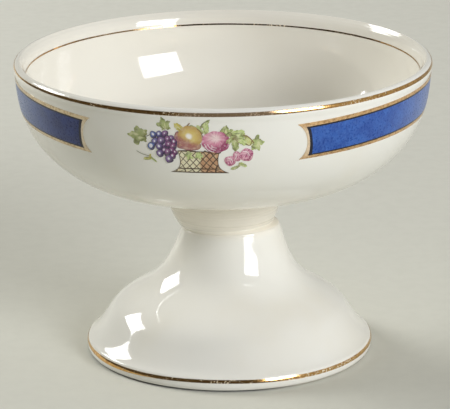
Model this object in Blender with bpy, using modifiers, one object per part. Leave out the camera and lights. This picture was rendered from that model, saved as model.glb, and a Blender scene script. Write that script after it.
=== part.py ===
# Footed sherbet dish in glazed earthenware: a turned bowl and a hollow flared pedestal, stuck
# together with slip, with gold lines, framed blue panels and printed fruit baskets fired on the glaze.
# Metres, +Z up, standing on z = 0 with the bowl's axis on the Z axis and the front facing -Y.

from math import ceil, cos, degrees, floor, radians, sin

import bmesh
import bpy
from mathutils import Vector
from mathutils.geometry import interpolate_bezier

MM = 0.001

# Turning
TURN_FACETS = 56
FACET_ANGLE = 360.0 / TURN_FACETS
SMOOTH_ANGLE = radians(35)
MERGE = 1e-6

# Bowl, radii and heights
RIM_RADIUS = 51.0 * MM
RIM_HEIGHT = 73.3 * MM
LIP_WALL = 2.9 * MM
LIP_CREST = 1.05 * MM
SHOULDER_RADIUS = 43.8 * MM
SHOULDER_HEIGHT = 52.4 * MM
BOWL_WALL = 3.0 * MM
UNDERSIDE_RADIUS = 15.4 * MM
UNDERSIDE_HEIGHT = 41.55 * MM
BASIN_HEIGHT = 45.4 * MM
RECESS_HEIGHT = 40.8 * MM
WALL_LEAN = -2.5
SHOULDER_LEAN = -43.0
UNDERSIDE_LEAN = -77.8
COLLAR_LEAN = -36.0

# Neck, where the bowl's foot ring is stuck to the pedestal
COLLAR_RADIUS = 11.6 * MM
COLLAR_HEIGHT = 32.2 * MM
STEM_BORE = 8.4 * MM
SLIP_THICKNESS = 0.5 * MM
SLIP_RADIUS = 10.8 * MM
SEAT_GAP = 0.05 * MM

# Pedestal, radii and heights
STEM_RADIUS = 12.1 * MM
STEM_HEIGHT = COLLAR_HEIGHT - SLIP_THICKNESS - 2 * SEAT_GAP
FLARE_RADIUS = 23.1 * MM
FLARE_HEIGHT = 15.4 * MM
KICK_RADIUS = 31.5 * MM
KICK_HEIGHT = 7.2 * MM
FOOT_TOP_RADIUS = 34.4 * MM
FOOT_TOP_HEIGHT = 3.3 * MM
FOOT_RADIUS = 35.6 * MM
FOOT_HEIGHT = 2.1 * MM
CONTACT_RADIUS = 34.9 * MM
CONTACT_WIDTH = 1.6 * MM
PEDESTAL_WALL = 3.0 * MM
STEM_LEAN = 17.0
FLARE_LEAN = 60.0
KICK_LEAN = 26.0
FOOT_TOP_LEAN = 52.0

# Hand work: how far the centre line is to the right of the bowl's axis at two heights, as (height, drift)
BOWL_DRIFT = ((38.0 * MM, 0.0), (32.0 * MM, 0.45 * MM))
PEDESTAL_DRIFT = ((31.0 * MM, 1.5 * MM), (12.0 * MM, 1.0 * MM))

# Decoration films
FILM = 0.10 * MM
FILM_GAP = 0.03 * MM
RIM_LINE = (RIM_HEIGHT - 0.35 * MM, RIM_HEIGHT + 0.35 * MM)
INNER_LINE = (70.6 * MM, 71.0 * MM)
FOOT_LINE = (2.3 * MM, 3.2 * MM)

# Framed panels: centres in degrees from the front, drops below the rim
PANEL_CENTRES = {"left": -99.0, "right": 81.0}
PANEL_HALF_ANGLE = 60.4
PANEL_TOP_DROP = (2.1 * MM, 3.5 * MM)
PANEL_BOTTOM_DROP = (11.3 * MM, 12.4 * MM)
PANEL_END_HOLLOW = 1.8 * MM
PANEL_END_STEPS = 6
FRAME_WIDTH = 1.0 * MM
FRAME_CLEARANCE = 0.06 * MM

# Printed fruit baskets
BASKET_CENTRES = {"front": -8.0, "back": 172.0}

COLOURS = {
    "glaze": ((0.82, 0.80, 0.74), 0.08, 0.0),
    "slip": ((0.70, 0.66, 0.56), 0.35, 0.0),
    "gold": ((0.62, 0.37, 0.12), 0.22, 1.0),
    "blue": ((0.045, 0.10, 0.45), 0.15, 0.0),
    "print": ((0.62, 0.30, 0.34), 0.2, 0.0),
}


def point(radius, height):
    return Vector((radius, 0.0, height))


def lean(angle):
    """Direction of a profile that runs down with this lean from upright, outwards positive."""
    return Vector((sin(radians(angle)), 0.0, -cos(radians(angle))))


def stretch(start, start_lean, start_pull, end, end_lean, end_pull, steps):
    """Points of one smooth stretch of profile running down, without its last point."""
    first_handle = start + lean(start_lean) * start_pull * MM
    last_handle = end - lean(end_lean) * end_pull * MM
    return interpolate_bezier(start, first_handle, last_handle, end, steps + 1)[:-1]


def offset(path, distance):
    """The path moved square to itself, away from the clay that lies to its right."""
    moved = []
    for index, here in enumerate(path):
        before = path[max(index - 1, 0)]
        after = path[min(index + 1, len(path) - 1)]
        along = (after - before).normalized()
        moved.append(here + Vector((-along.z, 0.0, along.x)) * distance)
    return moved


def at_height(path, height):
    """The point of a path at this height."""
    for here, there in zip(path, path[1:]):
        low, high = sorted((here.z, there.z))
        if low <= height <= high and high > low:
            return here.lerp(there, (height - here.z) / (there.z - here.z))
    raise ValueError("no point of the path at this height")


def between(path, low, high):
    """The part of a path between two heights, in the path's own order."""
    inside = [here for here in path if low < here.z < high]
    ends = [at_height(path, low), at_height(path, high)]
    ends.sort(key=lambda end: end.z, reverse=path[0].z > path[-1].z)
    return [ends[0], *inside, ends[1]]


def bowl_outside():
    """Outer side of the bowl, from the gilded edge of the lip down to the foot ring's bottom."""
    edge = point(RIM_RADIUS, RIM_HEIGHT)
    shoulder = point(SHOULDER_RADIUS, SHOULDER_HEIGHT)
    underside = point(UNDERSIDE_RADIUS, UNDERSIDE_HEIGHT)
    collar = point(COLLAR_RADIUS, COLLAR_HEIGHT)
    path = stretch(edge, WALL_LEAN, 5.2, shoulder, SHOULDER_LEAN, 9.7, 7)
    path += stretch(shoulder, SHOULDER_LEAN, 14.1, underside, UNDERSIDE_LEAN, 6.3, 6)
    path += stretch(underside, UNDERSIDE_LEAN, 1.6, collar, COLLAR_LEAN, 4.5, 5)
    return path + [collar]


def bowl_inside():
    """Inner side of the bowl, from the middle of the basin up to the lip."""
    mouth = point(RIM_RADIUS - LIP_WALL, RIM_HEIGHT - 0.7 * MM)
    shoulder = point(SHOULDER_RADIUS, SHOULDER_HEIGHT)
    inward = lean(SHOULDER_LEAN - 90.0)
    shoulder = shoulder + inward * BOWL_WALL
    middle = point(0.0, BASIN_HEIGHT)
    path = stretch(mouth, WALL_LEAN, 5.0, shoulder, SHOULDER_LEAN, 9.0, 5)
    path += stretch(shoulder, SHOULDER_LEAN, 11.5, middle, -90.0, 14.0, 5)
    return [middle, *reversed(path)]


def lip():
    """Round of the lip, from the mouth over the crest to the gilded edge, without its ends."""
    mouth = bowl_inside()[-1]
    crest = point(RIM_RADIUS - LIP_WALL / 2, RIM_HEIGHT + LIP_CREST)
    edge = point(RIM_RADIUS, RIM_HEIGHT)
    up = Vector((0.0, 0.0, LIP_CREST))
    side = Vector((LIP_WALL / 4, 0.0, 0.0))
    rise = interpolate_bezier(mouth, mouth + up, crest - side, crest, 4)
    fall = interpolate_bezier(crest, crest + side, edge + up * 0.6, edge, 4)
    return rise[1:] + fall[1:-1]


def bowl_profile():
    recess = [point(STEM_BORE, COLLAR_HEIGHT), point(STEM_BORE - 0.4 * MM, RECESS_HEIGHT - 0.6 * MM)]
    return bowl_inside() + lip() + bowl_outside() + recess + [point(0.0, RECESS_HEIGHT)]


def pedestal_outside():
    """Outer side of the pedestal, from the seam down to the ring it stands on."""
    stem = point(STEM_RADIUS, STEM_HEIGHT)
    flare = point(FLARE_RADIUS, FLARE_HEIGHT)
    kick = point(KICK_RADIUS, KICK_HEIGHT)
    foot_top = point(FOOT_TOP_RADIUS, FOOT_TOP_HEIGHT)
    foot = point(FOOT_RADIUS, FOOT_HEIGHT)
    contact = point(CONTACT_RADIUS, 0.0)
    path = stretch(stem, STEM_LEAN, 9.4, flare, FLARE_LEAN, 7.3, 6)
    path += stretch(flare, FLARE_LEAN, 5.1, kick, KICK_LEAN, 4.9, 4)
    path += stretch(kick, KICK_LEAN, 1.2, foot_top, FOOT_TOP_LEAN, 1.1, 3)
    path += stretch(foot_top, FOOT_TOP_LEAN, 0.6, foot, 0.0, 0.7, 2)
    path += stretch(foot, 0.0, 1.3, contact, -60.0, 0.6, 3)
    return path + [contact]


def pedestal_profile():
    """Outer side, standing ring, hollow underside and bored stem, as one closed line."""
    outside = pedestal_outside()
    wall = [here for here in offset(outside, -PEDESTAL_WALL) if here.z > KICK_HEIGHT]
    wall = [here for here in wall if here.x > STEM_BORE and here.z < STEM_HEIGHT - PEDESTAL_WALL]
    standing = point(CONTACT_RADIUS - CONTACT_WIDTH, 0.0)
    bore = point(STEM_BORE, STEM_HEIGHT)
    return outside + [standing, *reversed(wall), bore]


def slip_profile():
    """Section of the ring of slip between the bowl's foot ring and the pedestal."""
    top = COLLAR_HEIGHT - SEAT_GAP
    bottom = top - SLIP_THICKNESS
    return [
        point(SLIP_RADIUS, top),
        point(SLIP_RADIUS, bottom),
        point(STEM_BORE, bottom),
        point(STEM_BORE, top),
    ]


def line_profile(path, heights):
    """Section of a gold line painted on this side of the clay between two heights."""
    under = between(offset(path, FILM_GAP), *heights)
    over = offset(under, FILM)
    return over + under[::-1]


def material(name):
    colour, roughness, metallic = COLOURS[name]
    made = bpy.data.materials.new(name)
    made.use_nodes = True
    shader = made.node_tree.nodes["Principled BSDF"]
    shader.inputs["Base Color"].default_value = (*colour, 1.0)
    shader.inputs["Roughness"].default_value = roughness
    shader.inputs["Metallic"].default_value = metallic
    made.diffuse_color = (*colour, 1.0)
    return made


def add_object(name, mesh, finish, collection):
    obj = bpy.data.objects.new(name, mesh)
    mesh.materials.append(finish)
    collection.objects.link(obj)
    return obj


def apply_and_smooth(obj):
    """Keep what the modifiers make as the object's own mesh, smooth but for its real edges."""
    bpy.context.view_layer.update()
    graph = bpy.context.evaluated_depsgraph_get()
    made = bpy.data.meshes.new_from_object(obj.evaluated_get(graph))
    obj.modifiers.clear()
    obj.data = made
    made.name = obj.name
    made.shade_smooth()
    made.set_sharp_from_angle(angle=SMOOTH_ANGLE)


def turn(name, profile, closed, finish, collection):
    """A turned piece: its profile swept once round the Z axis."""
    edges = [(index, index + 1) for index in range(len(profile) - 1)]
    if closed:
        edges.append((len(profile) - 1, 0))
    mesh = bpy.data.meshes.new(name)
    mesh.from_pydata(profile, edges, [])
    obj = add_object(name, mesh, finish, collection)
    screw = obj.modifiers.new("turn", "SCREW")
    screw.steps = TURN_FACETS
    screw.render_steps = TURN_FACETS
    screw.use_merge_vertices = True
    screw.merge_threshold = MERGE
    apply_and_smooth(obj)
    return obj


def set_off_axis(obj, drifts):
    """Move the piece sideways, easing from the upper height's drift to the lower one's."""
    (upper, start), (lower, end) = drifts
    for corner in obj.data.vertices:
        down = min(max((upper - corner.co.z) / (upper - lower), 0.0), 1.0)
        corner.co.x += start + (end - start) * down * down * (3 - 2 * down)


def on_bowl(path, angle, height):
    """The place on the faceted bowl at this angle from the front and this height."""
    facet_middle = (floor(angle / FACET_ANGLE) + 0.5) * FACET_ANGLE
    to_chord = cos(radians(FACET_ANGLE / 2)) / cos(radians(angle - facet_middle))
    radius = at_height(path, height).x * to_chord
    return Vector((radius * sin(radians(angle)), -radius * cos(radians(angle)), height))


def wrap(name, loops, finish, collection):
    """A film on the bowl: one outline, or a ring between two, given as (angle, height) points."""
    path = offset(bowl_outside(), FILM_GAP)
    sheet = bmesh.new()
    rings = []
    for loop in loops:
        corners = [sheet.verts.new((angle, 0.0, height)) for angle, height in loop]
        rings.append([sheet.edges.new(pair) for pair in zip(corners, corners[1:] + corners[:1])])
    if len(rings) == 1:
        sheet.faces.new([edge.verts[0] for edge in rings[0]])
    else:
        bmesh.ops.bridge_loops(sheet, edges=rings[0] + rings[1])

    angles = [corner.co.x for corner in sheet.verts]
    heights = [corner.co.z for corner in sheet.verts]
    first_facet = ceil(min(angles) / FACET_ANGLE)
    last_facet = floor(max(angles) / FACET_ANGLE)
    cuts = [((index * FACET_ANGLE, 0, 0), (1, 0, 0)) for index in range(first_facet, last_facet + 1)]
    cuts += [((0, 0, here.z), (0, 0, 1)) for here in path if min(heights) < here.z < max(heights)]
    for place, normal in cuts:
        everything = sheet.verts[:] + sheet.edges[:] + sheet.faces[:]
        bmesh.ops.bisect_plane(sheet, geom=everything, dist=1e-7, plane_co=place, plane_no=normal)

    for corner in sheet.verts:
        corner.co = on_bowl(path, corner.co.x, corner.co.z)
    for face in sheet.faces:
        middle = face.calc_center_median()
        face.normal_update()
        if face.normal.dot(Vector((middle.x, middle.y, 0.0))) < 0:
            face.normal_flip()
    mesh = bpy.data.meshes.new(name)
    sheet.to_mesh(mesh)
    sheet.free()

    obj = add_object(name, mesh, finish, collection)
    solid = obj.modifiers.new("film", "SOLIDIFY")
    solid.thickness = FILM
    solid.offset = 1.0
    solid.use_even_offset = True
    apply_and_smooth(obj)
    return obj


def panel_outline(centre, inset):
    """Outline of a panel that bows up in its middle and has hollowed ends, drawn in by inset."""
    inset_angle = degrees(inset / RIM_RADIUS)
    half = PANEL_HALF_ANGLE - inset_angle
    hollow = degrees(PANEL_END_HOLLOW / RIM_RADIUS)

    def edge(drops, along):
        return RIM_HEIGHT - (drops[0] + (drops[1] - drops[0]) * along**2)

    stations = [index / 10 for index in range(-10, 11)]
    top = [(centre + along * half, edge(PANEL_TOP_DROP, along) - inset) for along in stations]
    bottom = [(centre + along * half, edge(PANEL_BOTTOM_DROP, along) + inset) for along in stations]
    ends = []
    for step in range(1, PANEL_END_STEPS):
        down = step / PANEL_END_STEPS
        height = top[0][1] + (bottom[0][1] - top[0][1]) * down
        inwards = half - hollow * 4 * down * (1 - down)
        ends.append((inwards, height))
    right_end = [(centre + inwards, height) for inwards, height in ends]
    left_end = [(centre - inwards, height) for inwards, height in reversed(ends)]
    return top + right_end + bottom[::-1] + left_end


def soften(corners):
    """A closed outline with each corner cut back to a quarter of its sides."""
    soft = []
    for (x, y), (next_x, next_y) in zip(corners, corners[1:] + corners[:1]):
        soft.append((x + (next_x - x) / 4, y + (next_y - y) / 4))
        soft.append((x + (next_x - x) * 3 / 4, y + (next_y - y) * 3 / 4))
    return soft


def basket_outline(centre):
    """Outline of the printed basket: a spread of fruit and leaves over a waisted basket."""
    # Across from the middle and down from the rim in millimetres, clockwise from the top of the fruit.
    spread = [(2.9, 1.8), (6.5, 3.2), (12.0, 3.4), (16.0, 7.6), (14.2, 10.6), (11.4, 14.0)]
    basket = [(7.6, 12.6), (9.4, 15.2), (-7.2, 15.2), (-4.6, 12.6)]
    bunch = [(-7.4, 13.2), (-13.2, 12.4), (-11.4, 9.0), (-15.9, 5.8), (-12.0, 3.4), (-6.4, 1.3), (-2.0, 2.8)]
    corners = soften(soften(spread + basket + bunch))
    turn_each = degrees(MM / RIM_RADIUS)
    return [(centre + across * turn_each, RIM_HEIGHT - down * MM) for across, down in corners]


def make_dish():
    for obj in list(bpy.data.objects):
        bpy.data.objects.remove(obj, do_unlink=True)
    dish = bpy.data.collections.new("sherbet_dish")
    bpy.context.scene.collection.children.link(dish)
    finish = {name: material(name) for name in COLOURS}

    bowl = turn("bowl", bowl_profile(), False, finish["glaze"], dish)
    set_off_axis(bowl, BOWL_DRIFT)
    rim = lip()[-3:] + bowl_outside()[:3]
    turn("rim_gold_line", line_profile(rim, RIM_LINE), True, finish["gold"], dish)
    turn("inner_gold_line", line_profile(bowl_inside(), INNER_LINE), True, finish["gold"], dish)

    foot_line = line_profile(pedestal_outside(), FOOT_LINE)
    below = [
        turn("pedestal_foot", pedestal_profile(), True, finish["glaze"], dish),
        turn("slip_joint", slip_profile(), True, finish["slip"], dish),
        turn("foot_gold_line", foot_line, True, finish["gold"], dish),
    ]
    for piece in below:
        set_off_axis(piece, PEDESTAL_DRIFT)

    for side, centre in PANEL_CENTRES.items():
        outer = panel_outline(centre, 0.0)
        inner = panel_outline(centre, FRAME_WIDTH)
        field = panel_outline(centre, FRAME_WIDTH + FRAME_CLEARANCE)
        wrap("gold_frame_" + side, [outer, inner], finish["gold"], dish)
        wrap("blue_panel_" + side, [field], finish["blue"], dish)

    for side, centre in BASKET_CENTRES.items():
        wrap("fruit_basket_" + side, [basket_outline(centre)], finish["print"], dish)


make_dish()
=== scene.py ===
from math import atan2, cos, degrees, exp, pi, radians, sin

import bpy
from mathutils import Matrix, Vector
from mathutils.geometry import interpolate_bezier


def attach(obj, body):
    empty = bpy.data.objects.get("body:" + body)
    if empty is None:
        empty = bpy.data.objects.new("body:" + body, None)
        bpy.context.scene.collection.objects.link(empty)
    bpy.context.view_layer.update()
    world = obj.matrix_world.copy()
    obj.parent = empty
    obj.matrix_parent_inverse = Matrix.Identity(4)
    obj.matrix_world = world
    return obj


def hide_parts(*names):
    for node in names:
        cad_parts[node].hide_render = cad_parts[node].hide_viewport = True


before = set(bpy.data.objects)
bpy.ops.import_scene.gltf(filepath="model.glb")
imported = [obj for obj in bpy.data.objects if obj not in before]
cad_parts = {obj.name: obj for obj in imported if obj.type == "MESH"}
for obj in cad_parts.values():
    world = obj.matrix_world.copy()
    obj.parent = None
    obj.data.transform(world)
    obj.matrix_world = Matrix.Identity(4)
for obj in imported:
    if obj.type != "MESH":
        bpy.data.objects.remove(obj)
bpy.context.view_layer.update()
mm = 0.001
turnSteps = 160  # sides of a turned piece
smoothAngle = radians(35)
print("frame loaded, nodes:", len(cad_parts))


# small helpers for adding, selecting and editing

def makeActive(piece):
    bpy.ops.object.select_all(action="DESELECT")
    piece.select_set(True)
    bpy.context.view_layer.objects.active = piece


def startEdit(piece):
    makeActive(piece)
    bpy.ops.object.mode_set(mode="EDIT")
    bpy.ops.mesh.select_all(action="SELECT")


def endEdit():
    bpy.ops.object.mode_set(mode="OBJECT")


def applyModifiers(piece):
    makeActive(piece)
    for modifier in list(piece.modifiers):
        bpy.ops.object.modifier_apply(modifier=modifier.name)


def newCurve():
    bpy.ops.curve.primitive_bezier_curve_add(location=(0, 0, 0))
    return bpy.context.object


def newGrid(wide, high):
    bpy.ops.mesh.primitive_grid_add(x_subdivisions=wide, y_subdivisions=high, size=1, location=(0, 0, 0))
    return bpy.context.object


def nameIt(piece, name):
    piece.name = name
    piece.data.name = name


def copyPiece(piece):
    made = piece.copy()
    made.data = piece.data.copy()
    bpy.context.scene.collection.objects.link(made)
    return made


def dropPiece(piece):
    bpy.data.objects.remove(piece, do_unlink=True)


def joinPieces(pieces, name):
    makeActive(pieces[0])
    for piece in pieces:
        piece.select_set(True)
    bpy.ops.object.join()
    nameIt(bpy.context.object, name)
    return bpy.context.object


def thicken(piece, lift, film):
    # stand a sheet a little off the glaze and give it the thickness of a fired film
    if lift:
        push = piece.modifiers.new("lift", "DISPLACE")
        push.strength = lift
        push.mid_level = 0.0
    shell = piece.modifiers.new("film", "SOLIDIFY")
    shell.thickness = film
    shell.offset = 1.0
    applyModifiers(piece)


def finishPiece(piece, node, material):
    piece.data.materials.clear()
    piece.data.materials.append(material)
    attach(piece, "root")
    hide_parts(node)


# node helpers: colours are written as screen values 0 to 255

def rgb(red, green, blue):
    linear = []
    for level in (red, green, blue):
        share = level / 255
        linear.append(share / 12.92 if share <= 0.04045 else ((share + 0.055) / 1.055) ** 2.4)
    return (*linear, 1.0)


def addNode(tree, kind, **settings):
    made = tree.nodes.new(kind)
    for key, value in settings.items():
        setattr(made, key, value)
    return made


def feed(tree, socket, value):
    if isinstance(value, bpy.types.NodeSocket):
        tree.links.new(value, socket)
    else:
        socket.default_value = value


def calc(tree, operation, first, second=0.0):
    made = addNode(tree, "ShaderNodeMath", operation=operation)
    feed(tree, made.inputs[0], first)
    feed(tree, made.inputs[1], second)
    return made.outputs[0]


def plus(tree, first, second):
    return calc(tree, "ADD", first, second)


def minus(tree, first, second):
    return calc(tree, "SUBTRACT", first, second)


def times(tree, first, second):
    return calc(tree, "MULTIPLY", first, second)


def spanOf(tree, across, up):
    # straight distance from its two parts
    return calc(tree, "SQRT", plus(tree, times(tree, across, across), times(tree, up, up)))


def remap(tree, value, low, high, toLow=0.0, toHigh=1.0):
    made = addNode(tree, "ShaderNodeMapRange", interpolation_type="SMOOTHSTEP")
    feed(tree, made.inputs["Value"], value)
    for socket, number in zip(("From Min", "From Max", "To Min", "To Max"), (low, high, toLow, toHigh)):
        made.inputs[socket].default_value = number
    return made.outputs["Result"]


def between(tree, value, start, full, fade, end):
    # rises from start to full, and falls again from fade to end
    return times(tree, remap(tree, value, start, full), remap(tree, value, fade, end, 1.0, 0.0))


def blend(tree, share, first, second):
    made = addNode(tree, "ShaderNodeMix", data_type="RGBA")
    feed(tree, made.inputs[0], share)
    feed(tree, made.inputs[6], first)
    feed(tree, made.inputs[7], second)
    return made.outputs[2]


def tint(tree, base, colour, value, start, full, most=1.0):
    # lays a colour over the base as the value goes from start to full
    return blend(tree, remap(tree, value, start, full, 0.0, most), base, colour)


def noise(tree, place, scale, detail=2.0, roughness=0.5):
    made = addNode(tree, "ShaderNodeTexNoise")
    feed(tree, made.inputs["Vector"], place)
    made.inputs["Scale"].default_value = scale
    made.inputs["Detail"].default_value = detail
    made.inputs["Roughness"].default_value = roughness
    return made.outputs["Fac"]


def cells(tree, place, scale):
    made = addNode(tree, "ShaderNodeTexVoronoi")
    feed(tree, made.inputs["Vector"], place)
    made.inputs["Scale"].default_value = scale
    return made.outputs


def newGroup(name, inputs, colours, values):
    # inputs come with their own colour or number, outputs are colours and then numbers
    tree = bpy.data.node_groups.new(name, "ShaderNodeTree")
    for label, value in inputs.items():
        kind = "NodeSocketFloat" if isinstance(value, float) else "NodeSocketColor"
        socket = tree.interface.new_socket(label, in_out="INPUT", socket_type=kind)
        socket.default_value = value
    for labels, kind in ((colours, "NodeSocketColor"), (values, "NodeSocketFloat")):
        for label in labels:
            tree.interface.new_socket(label, in_out="OUTPUT", socket_type=kind)
    entry = addNode(tree, "NodeGroupInput")
    leave = addNode(tree, "NodeGroupOutput")
    return tree, entry.outputs, leave.inputs


def useGroup(tree, group, **values):
    made = addNode(tree, "ShaderNodeGroup", node_tree=group)
    for label, value in values.items():
        feed(tree, made.inputs[label], value)
    return made.outputs


def newMaterial(name, **plain):
    made = bpy.data.materials.new(name)
    made.use_nodes = True
    tree = made.node_tree
    shader = tree.nodes["Principled BSDF"]
    for label, value in plain.items():
        shader.inputs[label].default_value = value
    return made, tree, shader.inputs


def addBump(tree, sockets, height):
    # height is in millimetres
    made = addNode(tree, "ShaderNodeBump")
    made.inputs["Strength"].default_value = 1.0
    made.inputs["Distance"].default_value = mm
    tree.links.new(height, made.inputs["Height"])
    tree.links.new(made.outputs["Normal"], sockets["Normal"])


def objectPlace(tree):
    return addNode(tree, "ShaderNodeTexCoord").outputs["Object"]


def uvPlace(tree):
    return addNode(tree, "ShaderNodeTexCoord").outputs["UV"]


def splitPlace(tree, place):
    made = addNode(tree, "ShaderNodeSeparateXYZ")
    tree.links.new(place, made.inputs[0])
    return made.outputs


def placeInMm(tree, place):
    return [calc(tree, "DIVIDE", part, mm) for part in splitPlace(tree, place)]


def marked(tree, name):
    # a value kept at the corners of the mesh
    return addNode(tree, "ShaderNodeAttribute", attribute_name=name).outputs["Fac"]


def joinPlace(tree, across, deep, height):
    made = addNode(tree, "ShaderNodeCombineXYZ")
    for socket, value in zip(made.inputs, (across, deep, height)):
        feed(tree, socket, value)
    return made.outputs[0]


# shared finishes

def makeGlazeSkin():
    # soft clouding, kiln specks and the faint unevenness of a dipped glaze
    tree, given, out = newGroup(
        "glazeSkin",
        {"Colour": rgb(239, 238, 231), "Shade": rgb(234, 230, 217), "Specks": 0.5},
        ["Colour"],
        ["Roughness", "Height"],
    )
    place = objectPlace(tree)
    cloud = noise(tree, place, 38.0, 3.0, 0.55)
    clouded = tint(tree, given["Colour"], given["Shade"], cloud, 0.4, 0.75, 0.6)
    speck = cells(tree, place, 210.0)
    pick = splitPlace(tree, speck["Color"])[0]
    rare = calc(tree, "GREATER_THAN", pick, 0.93)
    dot = remap(tree, speck["Distance"], 0.035, 0.075, 1.0, 0.0)
    dots = times(tree, times(tree, rare, dot), given["Specks"])
    tree.links.new(blend(tree, dots, clouded, rgb(120, 98, 70)), out["Colour"])
    tree.links.new(remap(tree, noise(tree, place, 160.0), 0.3, 0.7, 0.045, 0.085), out["Roughness"])
    tree.links.new(times(tree, noise(tree, place, 75.0, 1.0), 0.09), out["Height"])
    return tree


def makeFiredPrint():
    # the fine dots and thin patches of a colour print fired on the glaze
    tree, given, out = newGroup(
        "firedPrint",
        {"Colour": rgb(200, 160, 90), "Paper": rgb(236, 230, 214), "Strength": 0.5},
        ["Colour"],
        ["Roughness"],
    )
    place = objectPlace(tree)
    dots = remap(tree, cells(tree, place, 5200.0)["Distance"], 0.35, 0.6)
    thin = remap(tree, noise(tree, place, 900.0, 2.0), 0.45, 0.7)
    share = plus(tree, times(tree, dots, 0.4), thin)
    share = calc(tree, "MINIMUM", times(tree, share, given["Strength"]), 0.85)
    tree.links.new(blend(tree, share, given["Colour"], given["Paper"]), out["Colour"])
    tree.links.new(remap(tree, noise(tree, place, 1500.0), 0.3, 0.7, 0.12, 0.22), out["Roughness"])
    return tree


def makeGoldRub():
    # uneven brushwork, thin spots, and places where the gold is rubbed through
    tree, given, out = newGroup(
        "goldRub",
        {"Colour": rgb(214, 166, 96), "Thin": rgb(168, 120, 62), "Wear": 0.5},
        ["Colour"],
        ["Metallic", "Roughness", "Height"],
    )
    place = objectPlace(tree)
    streak = noise(tree, place, 1400.0, 3.0, 0.6)
    tone = tint(tree, given["Colour"], given["Thin"], streak, 0.42, 0.68)
    patch = noise(tree, place, 90.0, 2.0)
    grit = noise(tree, place, 2600.0, 2.0, 0.65)
    limit = minus(tree, 0.86, times(tree, given["Wear"], patch))
    rubbed = remap(tree, minus(tree, grit, limit), 0.0, 0.05)
    tree.links.new(blend(tree, rubbed, tone, rgb(226, 212, 186)), out["Colour"])
    tree.links.new(minus(tree, 1.0, rubbed), out["Metallic"])
    tree.links.new(remap(tree, streak, 0.3, 0.7, 0.02, 0.14), out["Roughness"])
    tree.links.new(grit, out["Height"])
    return tree


def makeRoundPaint():
    # light and dark sides of a small painted round, from its own UV square
    tree, given, out = newGroup("roundPaint", {"Lean": 0.12}, [], ["Edge", "Gleam", "Dark"])
    across, up, _ = splitPlace(tree, uvPlace(tree))
    right = minus(tree, across, 0.5)
    rise = minus(tree, up, 0.5)
    tree.links.new(times(tree, spanOf(tree, right, rise), 2.0), out["Edge"])
    gleamRight = plus(tree, right, given["Lean"])
    gleamRise = minus(tree, rise, given["Lean"])
    tree.links.new(times(tree, spanOf(tree, gleamRight, gleamRise), 2.0), out["Gleam"])
    tree.links.new(minus(tree, right, rise), out["Dark"])
    return tree


glazeSkin = makeGlazeSkin()
firedPrint = makeFiredPrint()
goldRub = makeGoldRub()
roundPaint = makeRoundPaint()


def turnMarks(tree, place):
    # uneven rings left by the turning tool: noise along radius plus height
    across, deep, height = splitPlace(tree, place)
    made = addNode(tree, "ShaderNodeTexNoise", noise_dimensions="1D")
    tree.links.new(plus(tree, spanOf(tree, across, deep), height), made.inputs["W"])
    made.inputs["Scale"].default_value = 900.0
    made.inputs["Detail"].default_value = 2.0
    return made.outputs["Fac"]


def makeCreamGlaze():
    made, tree, sockets = newMaterial("creamGlaze", IOR=1.52)
    skin = useGroup(tree, glazeSkin, Specks=0.35)
    place = objectPlace(tree)
    across, deep, height = placeInMm(tree, place)
    # the ground-off ring it stands on is bare clay
    bare = remap(tree, height, 0.05, 0.5, 1.0, 0.0)
    clay = blend(tree, noise(tree, place, 700.0, 3.0), rgb(214, 202, 178), rgb(178, 160, 130))
    # painted bounce light: the glaze is tinted creamier round the neck and under the bowl, for the warm
    # light bounced into the shade there
    bounceWarmth = between(tree, height, 30.0, 34.0, 41.0, 52.0)
    cream = blend(tree, times(tree, bounceWarmth, 0.75), skin["Colour"], rgb(249, 242, 227))
    # painted bounce light: the basin is tinted creamier for the warm light bounced round inside it
    inside = marked(tree, "inside")
    cream = blend(tree, times(tree, inside, 0.6), cream, rgb(244, 240, 228))
    cream = blend(tree, bare, cream, clay)
    # painted shadow: a dark line along the edge of the foot, where the shadow gap under it falls, most of
    # it on one side
    shadowSide = plus(tree, times(tree, across, 0.6), times(tree, deep, 0.8))
    paintedEdgeShadow = remap(tree, height, 0.36, 0.46, 0.97, 0.0)
    paintedEdgeShadow = times(tree, paintedEdgeShadow, remap(tree, shadowSide, -12.0, -24.0))
    tree.links.new(blend(tree, paintedEdgeShadow, cream, rgb(26, 23, 18)), sockets["Base Color"])
    dull = times(tree, calc(tree, "MAXIMUM", bare, paintedEdgeShadow), 0.6)
    tree.links.new(plus(tree, skin["Roughness"], dull), sockets["Roughness"])
    # turning marks round the neck and under the bowl
    marks = remap(tree, turnMarks(tree, place), 0.45, 0.75)
    marks = times(tree, marks, between(tree, height, 30.5, 33.0, 42.0, 47.0))
    addBump(tree, sockets, plus(tree, skin["Height"], times(tree, marks, 0.08)))
    return made


def makeSlipClay():
    made, tree, sockets = newMaterial("slipClay", IOR=1.5)
    skin = useGroup(tree, glazeSkin, Colour=rgb(246, 241, 228), Shade=rgb(240, 232, 214), Specks=0.35)
    tree.links.new(skin["Colour"], sockets["Base Color"])
    tree.links.new(plus(tree, skin["Roughness"], 0.04), sockets["Roughness"])
    addBump(tree, sockets, skin["Height"])
    return made


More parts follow.
